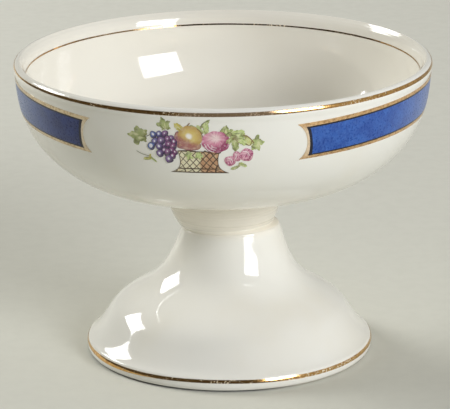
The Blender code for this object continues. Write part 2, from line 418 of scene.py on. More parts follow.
def makeGold(name, bright, thin, wear, rough, metal):
    made, tree, sockets = newMaterial(name, IOR=1.4)
    # rubbed most on the front of the rim
    across, deep, _ = placeInMm(tree, objectPlace(tree))
    front = between(tree, across, -13.0, -8.0, 10.0, 14.0)
    front = times(tree, front, remap(tree, deep, -40.0, -46.0))
    rubbing = plus(tree, times(tree, front, 0.08), wear)
    rub = useGroup(tree, goldRub, Colour=bright, Thin=thin, Wear=rubbing)
    tone = blend(tree, times(tree, front, 0.85), rub["Colour"], rgb(146, 126, 104))
    # and painted pale along the ends of the frames: partly gold rubbed thin, partly a painted reflection
    # of the light they catch
    ends = marked(tree, "endRubAndGleam")
    tone = blend(tree, times(tree, ends, 0.6), tone, rgb(238, 226, 204))
    tree.links.new(tone, sockets["Base Color"])
    shine = minus(tree, metal, times(tree, front, 0.45))
    shine = minus(tree, shine, times(tree, ends, 0.4))
    tree.links.new(times(tree, rub["Metallic"], shine), sockets["Metallic"])
    tree.links.new(plus(tree, rub["Roughness"], rough), sockets["Roughness"])
    addBump(tree, sockets, times(tree, rub["Height"], 0.005))
    return made


def makeBlueEnamel(name, deep, first, second, light, thin):
    made, tree, sockets = newMaterial(name, IOR=1.52)
    place = objectPlace(tree)
    grain = noise(tree, place, 1900.0, 3.0, 0.65)
    cloud = noise(tree, place, 260.0, 3.0, 0.6)
    base = tint(tree, first, second, cloud, 0.35, 0.65)
    base = tint(tree, base, light, grain, 0.52, 0.72, 0.55)
    base = tint(tree, base, deep, grain, 0.46, 0.3, 0.6)
    # painted sheen: the blue is painted paler towards the middle of the panel, where it turns to the side
    # and reflects light at a glancing angle
    aside = calc(tree, "ABSOLUTE", placeInMm(tree, place)[0])
    base = tint(tree, base, rgb(123, 141, 182), aside, 37.0, 52.0, thin)
    tree.links.new(base, sockets["Base Color"])
    tree.links.new(remap(tree, grain, 0.3, 0.7, 0.24, 0.4), sockets["Roughness"])
    addBump(tree, sockets, times(tree, grain, 0.012))
    return made


def makeDarkLine():
    made, tree, sockets = newMaterial("darkLine", IOR=1.5)
    ink = useGroup(tree, firedPrint, Colour=rgb(22, 24, 36), Paper=rgb(40, 44, 70), Strength=0.4)
    tree.links.new(ink["Colour"], sockets["Base Color"])
    tree.links.new(ink["Roughness"], sockets["Roughness"])
    return made


creamGlaze = makeCreamGlaze()
slipClay = makeSlipClay()
lineGold = makeGold("lineGold", rgb(226, 182, 116), rgb(190, 144, 86), wear=0.5, rough=0.04, metal=1.0)
hairGold = makeGold("hairGold", rgb(184, 146, 92), rgb(126, 96, 58), wear=0.5, rough=0.0, metal=1.0)
# painted light: the left panel's blue is painted darker for the shade on that side, and its frame paler
# for the light it reflects
frameGolds = {
    "left": makeGold(
        "frameGoldLeft", rgb(226, 206, 172), rgb(176, 152, 118), wear=0.35, rough=0.12, metal=0.6
    ),
    "right": makeGold(
        "frameGoldRight", rgb(235, 194, 143), rgb(182, 143, 98), wear=0.35, rough=0.12, metal=0.7
    ),
}
# thin is how much painted sheen each blue gets towards the middle of its panel
blueEnamels = {
    "left": makeBlueEnamel(
        "blueEnamelLeft",
        deep=rgb(8, 20, 64),
        first=rgb(17, 39, 100),
        second=rgb(27, 52, 120),
        light=rgb(58, 84, 146),
        thin=0.76,
    ),
    "right": makeBlueEnamel(
        "blueEnamelRight",
        deep=rgb(18, 48, 122),
        first=rgb(32, 76, 158),
        second=rgb(48, 96, 178),
        light=rgb(84, 126, 194),
        thin=0.56,
    ),
}
darkLine = makeDarkLine()
print("finishes made")


# bowl and pedestal: one Bezier profile each, spun round the axis
# a knot is radius, height, then its two handles as steps from it

bowlShape = {
    "knots": [
        (0.0, 45.4, 0, 0, 28.0, 0.0),  # middle of the basin
        (42.75, 54.1, -2.75, -4.17, 2.53, 3.84),  # inner shoulder
        (48.04, 70.5, -0.34, -7.4, 0.19, 0.7),  # where the lip starts to flare
        (48.75, 72.95, -0.33, -0.57, 0.17, 0.29),  # mouth
        (49.2, 73.7, -0.19, -0.18, 0.2, 0.18),  # bevel of the lip
        (49.75, 74.3, -0.28, 0.0, 0.72, 0.0),  # crest of the lip
        (51.05, 72.5, 0.0, 1.0, 0.0, -0.55),  # roll of the lip
        (50.74, 71.0, 0.06, 0.55, -0.4, -4.0),  # wall under the lip
        (43.8, 52.4, 6.4, 6.86, -9.62, -10.31),  # shoulder
        (15.4, 41.55, 6.16, 1.33, -1.56, -0.34),  # underside
        (11.6, 32.2, 2.65, 3.64, -0.1, 0.0),  # foot ring
        (8.4, 32.2, 0.1, 0.0, -0.05, 0.3),
        (8.0, 40.2, 0.05, -0.3, -0.3, 0.05),  # recess above the stem
        (0.0, 40.8, 0.3, 0.0, 0, 0),
    ],
    "fineness": 14,
    "rim": (51.0, 73.3),  # where flat work is measured from
    "drift": (38.0, 0.0, 32.0, 0.45),  # shift at an upper height, then at a lower one
    "basinFloor": 44.0,
    "sideSteps": (24, 16, 60),
}
pedestalShape = {
    "knots": [
        (11.5, 31.6, -0.1, 0.0, 0.35, 0.0),  # soft top edge at the seam
        (12.25, 31.1, -0.1, 0.35, 2.85, -8.7),
        (23.1, 15.4, -6.32, 3.65, 5.24, -3.02),  # flare
        (30.84, 8.4, -1.69, 2.61, 1.15, -1.78),  # kick
        (34.83, 3.48, -1.31, 0.84, 0.38, -0.24),  # toe
        (35.38, 2.72, -0.15, 0.38, 0.13, -0.34),  # gilded edge
        (35.6, 1.7, 0.0, 0.45, 0.0, -0.95),
        (34.3, 0.0, 0.9, 0.06, -0.1, 0.0),
        (33.3, 0.0, 0.1, 0.0, -1.7, 2.4),  # standing ring
        (24.3, 11.2, 4.2, -2.8, -3.6, 2.4),  # hollow underside
        (13.9, 19.85, 1.9, -2.9, -1.6, 2.4),
        (8.6, 31.0, 1.1, -2.6, -0.1, 0.3),  # bore of the stem
        (8.6, 31.6, 0.0, -0.1, 0.1, 0.0),
    ],
    "fineness": 12,
    "drift": (31.0, 1.5, 12.0, 1.0),
    "sideSteps": (12, 12, 24),
}
# the bowl is stuck on a little askew: how the seam rises to the right and to the back
seamTilt = {"right": 0.035, "back": -0.055, "height": 31.9, "reach": 9.0}


def setKnot(dot, spot, before, after):
    dot.handle_left_type = "FREE"
    dot.handle_right_type = "FREE"
    dot.co = spot
    dot.handle_left = before
    dot.handle_right = after


def turnPiece(name, knots, fineness, closed):
    spline = newCurve().data.splines[0]
    spline.bezier_points.add(len(knots) - 2)
    spline.use_cyclic_u = closed
    spline.resolution_u = fineness
    for dot, knot in zip(spline.bezier_points, knots):
        spot, before, after = (Vector((knot[at], 0, knot[at + 1])) * mm for at in (0, 2, 4))
        setKnot(dot, spot, spot + before, spot + after)
    bpy.ops.object.convert(target="MESH")
    piece = bpy.context.object
    nameIt(piece, name)
    startEdit(piece)
    bpy.ops.mesh.spin(steps=turnSteps, angle=2 * pi, center=(0, 0, 0), axis=(0, 0, 1))
    bpy.ops.mesh.select_all(action="SELECT")
    bpy.ops.mesh.remove_doubles(threshold=1e-6)
    bpy.ops.mesh.normals_make_consistent(inside=False)
    endEdit()
    bpy.ops.object.shade_smooth_by_angle(angle=smoothAngle)
    return piece


def turnOf(spot):
    # angle of a spot round the axis
    return spot.xy.angle_signed(Vector((1, 0)), 0)


def ease(share):
    share = min(max(share, 0.0), 1.0)
    return share * share * (3 - 2 * share)


def setByHand(piece, drift):
    # the neck runs a little to the right of the bowl's axis, and its seam lies a little askew
    upper, start, lower, end = drift
    for corner in piece.data.vertices:
        height = corner.co.z / mm
        nearSeam = ease(1 - abs(height - seamTilt["height"]) / seamTilt["reach"])
        corner.co.z += (seamTilt["right"] * corner.co.x + seamTilt["back"] * corner.co.y) * nearSeam
        corner.co.x += (start + (end - start) * ease((upper - height) / (upper - lower))) * mm


bowl = turnPiece("bowlBody", bowlShape["knots"], bowlShape["fineness"], False)
pedestal = turnPiece("pedestalBody", pedestalShape["knots"], pedestalShape["fineness"], True)
print("bowl and pedestal turned")


# outer side of the bowl, from the crest of the lip down to the shoulder, and of the foot from its toe down

rimRadius, rimHeight = (size * mm for size in bowlShape["rim"])


def wallStretch(first, second, steps):
    start, end = Vector(first[:2]), Vector(second[:2])
    return interpolate_bezier(start, start + Vector(first[4:]), end + Vector(second[2:4]), end, steps)


def sideSpots(knots, fineness):
    side = []
    for above, below, steps in zip(knots, knots[1:], fineness):
        side += [spot * mm for spot in wallStretch(above, below, steps)[bool(side):]]
    return side


bowlSide = sideSpots(bowlShape["knots"][5:9], bowlShape["sideSteps"])
footSide = sideSpots(pedestalShape["knots"][4:8], pedestalShape["sideSteps"])


def onWall(height, side=bowlSide):
    # radius of the side at this height, and its slope
    for above, below in zip(side, side[1:]):
        if below.y <= height:
            slope = (above.x - below.x) / (above.y - below.y)
            return below.x + slope * (height - below.y), slope
    return side[-1].x, slope


# gold lines: the skin of the clay between two heights, lifted and thickened

# sways are where a line runs low, high or thin: degrees from the front, reach in degrees,
# then how far its lower and upper edges move in millimetres; keep is the span of radii it lies in
goldLines = {
    "rimGoldLine": {
        "from": bowl,
        "low": 72.95,
        "high": 73.68,
        "keep": (49.8, 60.0),
        "side": bowlSide,
        "sways": [(-8, 40, -0.26, -0.26), (-68, 36, 0.27, 0.27), (-70, 34, 0, -0.42), (88, 22, 0, -0.2)],
        "gold": lineGold,
        "node": "rim_gold_line",
    },
    "innerGoldLine": {
        "from": bowl,
        "low": 70.62,
        "high": 71.0,
        "keep": (40.0, 49.6),
        "sways": [],
        "gold": hairGold,
        "node": "inner_gold_line",
    },
    "footGoldLine": {
        "from": pedestal,
        "low": 2.2,
        "high": 2.76,
        "keep": (34.0, 60.0),
        "side": footSide,
        "sways": [(-55, 20, -0.45, -0.08), (50, 40, -0.3, -0.05), (-4, 22, 0.2, 0.29)],
        "gold": lineGold,
        "node": "foot_gold_line",
    },
}
# thickness, stand-off and wander in millimetres, and how near a corner is to an edge to wander with it
goldBrush = {"film": 0.06, "lift": 0.012, "wander": 0.02, "near": 0.01}


def brushWander(angle):
    # a hand-drawn line is never quite even
    slow = sin(angle * 7 + 1) + 0.7 * sin(angle * 17 + 2)
    quick = 0.5 * sin(angle * 41) + 0.4 * sin(angle * 67 + 4)
    return goldBrush["wander"] * mm * (slow + quick)


def goldLine(name, facts):
    makeActive(facts["from"])
    bpy.ops.object.duplicate()
    line = bpy.context.object
    nameIt(line, name)
    startEdit(line)
    bpy.ops.mesh.bisect(plane_co=(0, 0, facts["low"] * mm), plane_no=(0, 0, 1), clear_inner=True)
    bpy.ops.mesh.select_all(action="SELECT")
    bpy.ops.mesh.bisect(plane_co=(0, 0, facts["high"] * mm), plane_no=(0, 0, 1), clear_outer=True)
    bpy.ops.mesh.select_all(action="DESELECT")
    endEdit()
    near, far = facts["keep"]
    for face in line.data.polygons:
        face.select = not near < face.center.xy.length / mm < far
    bpy.ops.object.mode_set(mode="EDIT")
    bpy.ops.mesh.delete(type="FACE")
    endEdit()
    for corner in line.data.vertices:
        angle = turnOf(corner.co)
        height = corner.co.z / mm
        if abs(height - facts["low"]) < goldBrush["near"]:
            corner.co.z += brushWander(angle)
        elif abs(height - facts["high"]) < goldBrush["near"]:
            corner.co.z += brushWander(angle + 2)
        if facts["sways"]:
            fromFront = degrees(atan2(corner.co.x, -corner.co.y))
            share = (corner.co.z / mm - facts["low"]) / (facts["high"] - facts["low"])
            for middle, reach, lower, upper in facts["sways"]:
                shift = lower + (upper - lower) * share
                corner.co.z += shift * mm * exp(-(((fromFront - middle) / reach) ** 2))
            radius, _ = onWall(corner.co.z, facts["side"])
            corner.co.xy *= radius / corner.co.xy.length
    thicken(line, goldBrush["lift"] * mm, goldBrush["film"] * mm)
    makeActive(line)
    bpy.ops.object.shade_smooth_by_angle(angle=smoothAngle)
    return line


for name, facts in goldLines.items():
    line = goldLine(name, facts)
    if facts["from"] == pedestal:
        setByHand(line, pedestalShape["drift"])
    finishPiece(line, facts["node"], facts["gold"])

# painted bounce light: the basin's corners are marked for a creamier tint, which stands in for the warm
# light bounced round inside the bowl
basin = bowl.data.attributes.new("inside", "FLOAT", "POINT")
for corner, item in zip(bowl.data.vertices, basin.data):
    outwards = Vector((corner.co.x, corner.co.y, 0))
    item.value = float(corner.co.z > bowlShape["basinFloor"] * mm and corner.normal.dot(outwards) <= 0)
setByHand(bowl, bowlShape["drift"])
setByHand(pedestal, pedestalShape["drift"])
finishPiece(bowl, "bowl", creamGlaze)
finishPiece(pedestal, "pedestal_foot", creamGlaze)
print("gold lines laid")


# slip: fills the seam between the foot ring and the pedestal, smoothed off with a wet brush

slipShape = {
    "knots": [
        (10.6, 32.1, 0.0, -0.1, 0.3, 0.05),
        (11.66, 32.32, -0.3, 0.0, 0.02, -0.25),  # tucked up against the collar
        (12.02, 31.55, -0.12, 0.2, -0.2, -0.03),  # run out on the stem
        (10.6, 31.62, 0.3, -0.02, 0.0, 0.1),
    ],
    "fineness": 8,
    "drift": (32.25, 0.45, 31.6, 1.5),
}
slip = turnPiece("slipRing", slipShape["knots"], slipShape["fineness"], True)
setByHand(slip, slipShape["drift"])
finishPiece(slip, "slip_joint", slipClay)


# wrapping flat work on the bowl: x runs round the rim, y is the height from it, z stands off the glaze

def wrapOnBowl(piece, centre):
    for corner in piece.data.vertices:
        across, rise, lift = corner.co
        angle = radians(centre) + across / rimRadius
        height = rimHeight + rise
        radius, slope = onWall(height)
        outwards = Vector((sin(angle), -cos(angle), -slope)).normalized()
        corner.co = Vector((radius * sin(angle), -radius * cos(angle), height)) + outwards * lift
    piece.data.update()


# blue panels with hollowed ends, a dark line and a gold frame

panelCut = {
    "centres": {"left": -99.0, "right": 81.0},  # degrees from the front
    "halfTurn": 60.4,
    "tips": (0.88, -1.35, -2.35),  # how far the ends of frame, line and blue stand out
    "hollows": (2.45, 0.85, 0.55),  # and how deep they are hollowed
    "lowerDraw": 0.95,  # how much shorter the lower edge is at each end
    "topDrop": (2.1, 3.5),  # in the middle, at the ends
    "bottomDrop": (11.3, 12.4),
    "insets": (0.0, 0.8, 1.16),  # how far the long edges stand in
    "hollowCurve": 0.8,
    "along": 72,  # corners along an edge
    "ends": 14,  # corners up an end
    "field": (90, 9),  # grid of the blue
    "rubbed": (4, 5),  # how far in the ends are painted pale, partly rubbed thin and partly a painted reflection, and how near to their tips
    "lift": 0.02,
    "film": 0.05,
}


def panelPoint(across, up, layer):
    # a spot of the panel, from shares across and up it; the layers are frame, line and blue
    half = radians(panelCut["halfTurn"]) * rimRadius + panelCut["tips"][layer] * mm
    reach = half - panelCut["hollows"][layer] * mm * (4 * up * (1 - up)) ** panelCut["hollowCurve"]
    reach -= panelCut["lowerDraw"] * mm * (1 - up) ** 2
    bend = (reach * across / half) ** 2
    inset = panelCut["insets"][layer]
    top, topEnd = panelCut["topDrop"]
    bottom, bottomEnd = panelCut["bottomDrop"]
    topLine = top + (topEnd - top) * bend + inset
    bottomLine = bottom + (bottomEnd - bottom) * bend - inset
    return Vector((reach * across, -(bottomLine + (topLine - bottomLine) * up) * mm, 0))


def panelRing(layer):
    columns = [2 * step / panelCut["along"] - 1 for step in range(panelCut["along"])]
    rows = [step / panelCut["ends"] for step in range(panelCut["ends"])]
    spots = [panelPoint(column, 0, layer) for column in columns]
    spots += [panelPoint(1, row, layer) for row in rows]
    spots += [panelPoint(-column, 1, layer) for column in columns]
    spots += [panelPoint(-1, 1 - row, layer) for row in rows]
    return spots


def ringPiece(outer, inner):
    rings = []
    for spots in (outer, inner):
        bpy.ops.mesh.primitive_circle_add(vertices=len(spots), radius=mm, location=(0, 0, 0))
        rings.append(bpy.context.object)
        for corner, spot in zip(rings[-1].data.vertices, spots):
            corner.co = spot
    ring = joinPieces(rings, "ring")
    startEdit(ring)
    bpy.ops.mesh.bridge_edge_loops()
    endEdit()
    return ring


def panelField(layer):
    field = newGrid(*panelCut["field"])
    for corner in field.data.vertices:
        corner.co = panelPoint(corner.co.x * 2, corner.co.y + 0.5, layer)
    return field


def markEnds(frameRing):
    # the hollowed ends, but not their tips, are painted pale: partly gold rubbed thin, partly a painted
    # reflection of the light they catch
    half = radians(panelCut["halfTurn"]) * rimRadius
    top, bottom = panelCut["topDrop"][1], panelCut["bottomDrop"][1]
    inwards, tipwards = panelCut["rubbed"]
    rub = frameRing.data.attributes.new("endRubAndGleam", "FLOAT", "POINT")
    for corner, item in zip(frameRing.data.vertices, rub.data):
        up = (bottom + corner.co.y / mm) / (bottom - top)
        item.value = ease((abs(corner.co.x) - half) / mm + inwards) * ease(tipwards * up * (1 - up))


def faceOut(piece):
    # an open sheet has no inside, so its faces are turned away from the bowl's axis
    face = piece.data.polygons[0]
    if face.normal.dot(Vector((face.center.x, face.center.y, 0))) < 0:
        startEdit(piece)
        bpy.ops.mesh.flip_normals()
        endEdit()


def makePanel(side, centre):
    edge, middle, inside = (panelRing(layer) for layer in range(3))
    layers = [
        (ringPiece(edge, middle), "goldFrame", "gold_frame_", "gold", frameGolds[side]),
        (ringPiece(middle, inside), "panelLine", "blue_panel_", "blue", darkLine),
        (panelField(2), "bluePanel", "blue_panel_", "blue", blueEnamels[side]),
    ]
    markEnds(layers[0][0])
    for piece, name, node, slot, material in layers:
        nameIt(piece, name + side.capitalize())
        wrapOnBowl(piece, centre)
        startEdit(piece)
        bpy.ops.mesh.normals_make_consistent(inside=False)
        endEdit()
        faceOut(piece)
        thicken(piece, panelCut["lift"] * mm, panelCut["film"] * mm)
        makeActive(piece)
        bpy.ops.object.shade_smooth_by_angle(angle=smoothAngle)
        finishPiece(piece, node + side, material)


for side, centre in panelCut["centres"].items():
    makePanel(side, centre)
print("panels wrapped")


# printed fruit basket, drawn flat in millimetres about its own middle: across, then down from the rim

basketCentres = {"front": -8.0, "back": 172.0}
basketBody = {
    "middle": 1.25,
    "top": 9.1,
    "foot": 14.8,
    "waist": 4.35,
    "spread": 2.9,
    "flare": 0.65,
    "grid": (20, 12),
}
# across, down, size, tone from blue to plum, below 0 the dark of the bunch; the last drawn lie on top
grapeSpots = [
    (-7.0, 6.3, 1.6, -1.0),
    (-5.6, 7.6, 1.9, -1.0),
    (-7.2, 8.6, 1.5, -1.0),
    (-5.6, 9.6, 1.6, -1.0),
    (-6.5, 5.0, 0.8, 0.75),
    (-7.9, 5.3, 0.8, 0.3),
    (-9.4, 5.5, 0.88, 0.1),
    (-5.0, 6.1, 0.8, 0.7),
    (-5.9, 6.4, 0.8, 0.85),
    (-4.4, 6.9, 0.7, 0.95),
    (-9.0, 7.1, 0.88, 0.35),
    (-6.7, 7.7, 0.8, 0.75),
    (-5.7, 7.6, 0.78, 0.9),
    (-7.5, 6.8, 1.0, 0.6),
    (-4.7, 8.0, 0.75, 1.0),
    (-6.9, 9.2, 0.75, 0.8),
    (-8.1, 8.3, 0.88, 0.5),
    (-10.0, 8.3, 0.95, 0.0),
    (-5.1, 9.1, 0.8, 0.95),
    (-4.3, 9.5, 0.6, 1.0),
    (-6.1, 9.4, 0.85, 0.85),
    (-8.0, 10.0, 0.92, 0.55),
    (-4.9, 10.5, 0.75, 0.95),
    (-5.9, 11.3, 1.0, 0.6),
]
# across, down, length, width, turn in degrees, tone: olive to pale green, past 1 yellow
vineLeaves = [
    (-13.0, 6.0, 6.0, 5.6, 178, 0.15),
    (-6.7, 2.9, 3.9, 4.0, 108, 0.35),
    (8.2, 4.5, 3.6, 3.2, 105, 0.4),
    (14.8, 7.3, 3.8, 4.8, 10, 0.55),
]
plainLeaves = [
    (-3.2, 3.4, 2.9, 2.2, 140, 1.6),
    (0.4, 3.3, 2.2, 1.4, 160, 0.8),
    (1.7, 3.7, 2.4, 1.4, 128, 0.7),
    (2.9, 2.4, 3.0, 1.5, 42, 0.5),
    (3.1, 3.6, 3.0, 2.1, 96, 0.95),
    (7.0, 3.9, 2.4, 1.5, 50, 0.2),
    (10.2, 4.7, 3.6, 2.5, 12, 0.9),
    (11.2, 5.6, 2.6, 1.9, 48, 0.6),
    (12.9, 6.5, 2.9, 1.9, -62, 1.2),
    (9.0, 6.1, 3.0, 2.0, -140, 0.3),
    (9.8, 7.2, 3.6, 2.6, -85, 0.35),
    (11.3, 6.6, 3.2, 2.4, -30, 0.95),
    (-11.4, 11.6, 2.5, 1.2, 196, 1.3),
    (-9.9, 11.8, 1.8, 0.9, -42, 1.1),
    (-10.6, 10.9, 1.2, 0.8, 80, 1.4),
    (9.9, 13.3, 2.3, 1.3, 205, 0.1),
    (11.7, 12.6, 2.1, 1.5, -20, 1.1),
]
tuckedLeaves = [(-1.0, 10.1, 2.7, 2.6, -112, 0.75), (1.3, 10.1, 2.7, 2.3, -75, 0.95)]
# across, down, half width, half height, tone
peachSpots = [
    (-3.2, 6.4, 1.35, 2.1, 1.0),
    (-0.8, 7.7, 2.8, 1.25, 0.8),
    (-0.7, 5.6, 2.85, 2.75, 0.0),
]
bloomSpots = [
    (5.35, 6.75, 3.35, 2.65, 0.0),
    (8.65, 11.55, 1.35, 1.3, 1.0),
    (12.5, 10.1, 1.65, 1.65, 1.4),
    (10.3, 10.4, 1.05, 1.3, 1.2),
]
paints = {
    "bark": rgb(134, 98, 58),
    "olive": rgb(92, 98, 52),
    "white": rgb(248, 238, 240),
    "rose": rgb(158, 58, 106),
    "umber": rgb(78, 52, 34),
}
# paint, width, start, bend, end
strokes = [
    ("bark", 0.2, (11.6, 5.1), (13.0, 5.2), (14.2, 7.2)),
    ("bark", 0.16, (12.3, 7.2), (13.4, 8.4), (13.7, 6.6)),
    ("olive", 0.13, (-14.0, 9.9), (-12.5, 10.8), (-10.8, 10.9)),
    ("bark", 0.26, (-1.1, 2.9), (-0.9, 2.4), (-0.6, 2.3)),
    ("bark", 0.16, (1.0, 3.5), (2.1, 4.2), (2.3, 5.6)),
    ("olive", 0.13, (1.9, 3.1), (2.2, 2.1), (3.6, 1.6)),
    ("olive", 0.13, (-11.3, 6.1), (-10.6, 5.8), (-10.0, 5.4)),
    ("olive", 0.12, (7.5, 5.4), (8.6, 3.6), (9.2, 5.2)),
    ("bark", 0.12, (9.0, 5.9), (10.4, 6.0), (10.6, 7.4)),
    ("white", 0.16, (2.7, 7.2), (3.2, 9.0), (4.9, 9.2)),
    ("white", 0.13, (3.4, 7.2), (3.9, 8.6), (5.3, 8.7)),
    ("white", 0.1, (4.2, 7.4), (4.5, 8.2), (5.6, 8.2)),
    ("rose", 0.18, (5.0, 9.1), (7.6, 9.0), (8.2, 6.6)),
    ("rose", 0.14, (4.9, 8.5), (6.9, 8.4), (7.4, 6.6)),
    ("white", 0.14, (8.2, 10.8), (9.2, 10.9), (9.2, 11.9)),
    ("rose", 0.16, (7.7, 11.0), (7.6, 12.6), (9.0, 12.5)),
    ("white", 0.13, (11.6, 9.2), (12.9, 9.0), (13.1, 10.2)),
    ("rose", 0.2, (11.9, 11.3), (13.4, 11.6), (13.6, 9.9)),
    ("white", 0.16, (9.9, 9.6), (10.2, 10.2), (9.9, 11.0)),
    ("umber", 0.2, (-3.6, 9.1), (-1.4, 8.85), (0.6, 9.05)),
    ("umber", 0.24, (2.6, 8.9), (3.6, 9.4), (4.8, 9.7)),
    ("umber", 0.24, (5.0, 9.6), (6.0, 9.6), (6.5, 9.3)),
]
# how high the drawings lie off the glaze, and each shape above the last one, in millimetres
inkHeights = {
    "vineLeaves": 0.02,
    "plainLeaves": 0.03,
    "wicker": 0.035,
    "peaches": 0.045,
    "blooms": 0.05,
    "grapes": 0.06,
    "tuckedLeaves": 0.07,
    "strokes": 0.1,
}
inkSteps = {"leaves": 0.002, "rounds": 0.005, "grapes": 0.003, "dabs": 0.0015}
drawnSides = {"leaf": 60, "round": 28, "berry": 16}
drawnWobble = 0.07 * mm
strokeShape = {"fineness": 10, "roundness": 1, "pull": 0.7, "flatness": 0.2}


def drawnRound(sides):
    # a unit disc with an even mesh, its UV square kept for the paint
    bpy.ops.mesh.primitive_circle_add(vertices=sides, radius=mm, fill_type="TRIFAN", location=(0, 0, 0))
    piece = bpy.context.object
    startEdit(piece)
    bpy.ops.mesh.subdivide(number_cuts=2)
    endEdit()
    return piece


def drawnLeaf(lobes):
    # a leaf along x, one unit long: five lobes for the vine, one point for the plain leaf
    piece = drawnRound(drawnSides["leaf"])
    for corner in piece.data.vertices:
        angle = turnOf(corner.co)
        if lobes:
            lobe = (0.34 + 0.1 * cos(angle)) * (1 - abs(sin(lobes / 2 * angle))) ** 0.7
            corner.co *= 0.5 * (0.56 + lobe + 0.05 * sin(13 * angle + 1) + 0.06 * sin(2 * angle))
        else:
            corner.co *= 0.5 * (0.8 + 0.2 * cos(2 * angle) + 0.06 * cos(9 * angle))
    square = piece.data.uv_layers.active.data
    for loop in piece.data.loops:
        spot = piece.data.vertices[loop.vertex_index].co
        square[loop.index].uv = (0.5 + spot.x / mm, 0.5 + spot.y / mm)
    return piece


def placeCopy(template, across, down, layer, length, width, turn, tone):
    copy = copyPiece(template)
    place = Matrix.Translation(Vector((across, -down, layer)) * mm)
    place = place @ Matrix.Rotation(radians(turn), 4, "Z") @ Matrix.Diagonal((length, width, 1, 1))
    copy.data.transform(place)
    for corner in copy.data.vertices:
        # no two are drawn quite alike
        right, up, _ = corner.co / mm
        corner.co.x += drawnWobble * sin(up * 2.6 + across)
        corner.co.y += drawnWobble * sin(right * 2.9 + down)
    shade = copy.data.attributes.new("tone", "FLOAT", "POINT")
    for item in shade.data:
        item.value = tone
    return copy


def drawGrapes():
    berry = drawnRound(drawnSides["berry"])
    copies = []
    for across, down, size, tone in grapeSpots:
        layer = inkHeights["grapes"] + inkSteps["grapes"] * len(copies)
        copies.append(placeCopy(berry, across, down, layer, size, size * 1.04, 0, tone))
        if tone < 0:
            continue
        # a dab of light, larger on the blue ones
        dab = size * (0.37 - 0.15 * tone + 0.08 * sin(across * 9 + down * 5))
        layer += inkSteps["dabs"]
        copies.append(placeCopy(berry, across - 0.15, down - 0.12, layer, dab, dab * 1.2, 0, 2.0))
    dropPiece(berry)
    return joinPieces(copies, "grapes")


def drawLeaves():
    copies = []
    for name, lobes, spots in (
        ("vineLeaves", 5, vineLeaves),
        ("plainLeaves", 0, plainLeaves),
        ("tuckedLeaves", 5, tuckedLeaves),
    ):
        leaf = drawnLeaf(lobes)
        for across, down, length, width, turn, tone in spots:
            layer = inkHeights[name] + inkSteps["leaves"] * len(copies)
            copies.append(placeCopy(leaf, across, down, layer, length, width, turn, tone))
        dropPiece(leaf)
    return joinPieces(copies, "leaves")


def drawRounds(spots, name):
    disc = drawnRound(drawnSides["round"])
    copies = []
    for across, down, wide, tall, tone in spots:
        layer = inkHeights[name] + inkSteps["rounds"] * len(copies)
        copies.append(placeCopy(disc, across, down, layer, wide, tall, 0, tone))
    dropPiece(disc)
    return joinPieces(copies, name)


def drawBasket():
    piece = newGrid(*basketBody["grid"])
    tall = basketBody["foot"] - basketBody["top"]
    for corner in piece.data.vertices:
        up = corner.co.y + 0.5
        half = basketBody["waist"] + basketBody["spread"] * exp(-6 * up) + basketBody["flare"] * up**3
        across = basketBody["middle"] + corner.co.x * 2 * half
        corner.co = Vector((across, tall * up - basketBody["foot"], inkHeights["wicker"])) * mm
    return piece


def drawStrokes():
    copies = []
    for paint, width, *spots in strokes:
        stroke = newCurve()
        stroke.data.bevel_depth = width / 2 * mm
        stroke.data.bevel_resolution = strokeShape["roundness"]
        stroke.data.use_fill_caps = True
        spline = stroke.data.splines[0]
        spline.resolution_u = strokeShape["fineness"]
        start, bend, end = (Vector((across, -down, 0)) * mm for across, down in spots)
        for dot, spot in zip(spline.bezier_points, (start, end)):
            handle = spot.lerp(bend, strokeShape["pull"])
            setKnot(dot, spot, handle, handle)
        bpy.ops.object.convert(target="MESH")
        stroke = bpy.context.object
        # pressed nearly flat, as a brush leaves it
        lift = Matrix.Translation((0, 0, inkHeights["strokes"] * mm))
        stroke.data.transform(lift @ Matrix.Diagonal((1, 1, strokeShape["flatness"], 1)))
        coat = stroke.data.attributes.new("paint", "FLOAT_COLOR", "POINT")
        for item in coat.data:
            item.color = paints[paint]
        copies.append(stroke)
    return joinPieces(copies, "strokes")


def printInk(tree, sockets, colour, strength):
    ink = useGroup(tree, firedPrint, Colour=colour, Strength=strength)
    tree.links.new(ink["Colour"], sockets["Base Color"])
    tree.links.new(ink["Roughness"], sockets["Roughness"])


def toneOf(tree):
    return marked(tree, "tone")


def fanStreaks(tree, fromRight, fromHigh, fineness):
    # brush streaks that fan out from one spot of the UV square
    across, up, _ = splitPlace(tree, uvPlace(tree))
    right = minus(tree, across, fromRight)
    rise = minus(tree, up, fromHigh)
    turn = calc(tree, "ARCTAN2", rise, right)
    reach = spanOf(tree, right, rise)
    place = joinPlace(tree, turn, times(tree, reach, 0.8), times(tree, toneOf(tree), 3.0))
    return noise(tree, place, fineness, 2.0), reach, right


def grapePrint():
    made, tree, sockets = newMaterial("grapePrint")
    paint = useGroup(tree, roundPaint, Lean=0.12)
    tone = toneOf(tree)
    body = blend(tree, tone, rgb(76, 104, 168), rgb(124, 54, 106))
    sheen = blend(tree, tone, rgb(156, 170, 214), rgb(172, 108, 160))
    body = tint(tree, body, sheen, paint["Gleam"], 0.9, 0.2, 0.6)
    body = tint(tree, body, rgb(54, 36, 78), paint["Dark"], -0.05, 0.4, 0.85)
    body = tint(tree, body, rgb(38, 28, 68), paint["Edge"], 0.78, 1.0, 0.85)
    body = tint(tree, body, rgb(226, 226, 236), tone, 1.4, 1.8)
    body = tint(tree, body, rgb(84, 58, 96), tone, -0.1, -0.6)
    printInk(tree, sockets, body, 0.1)
    return made


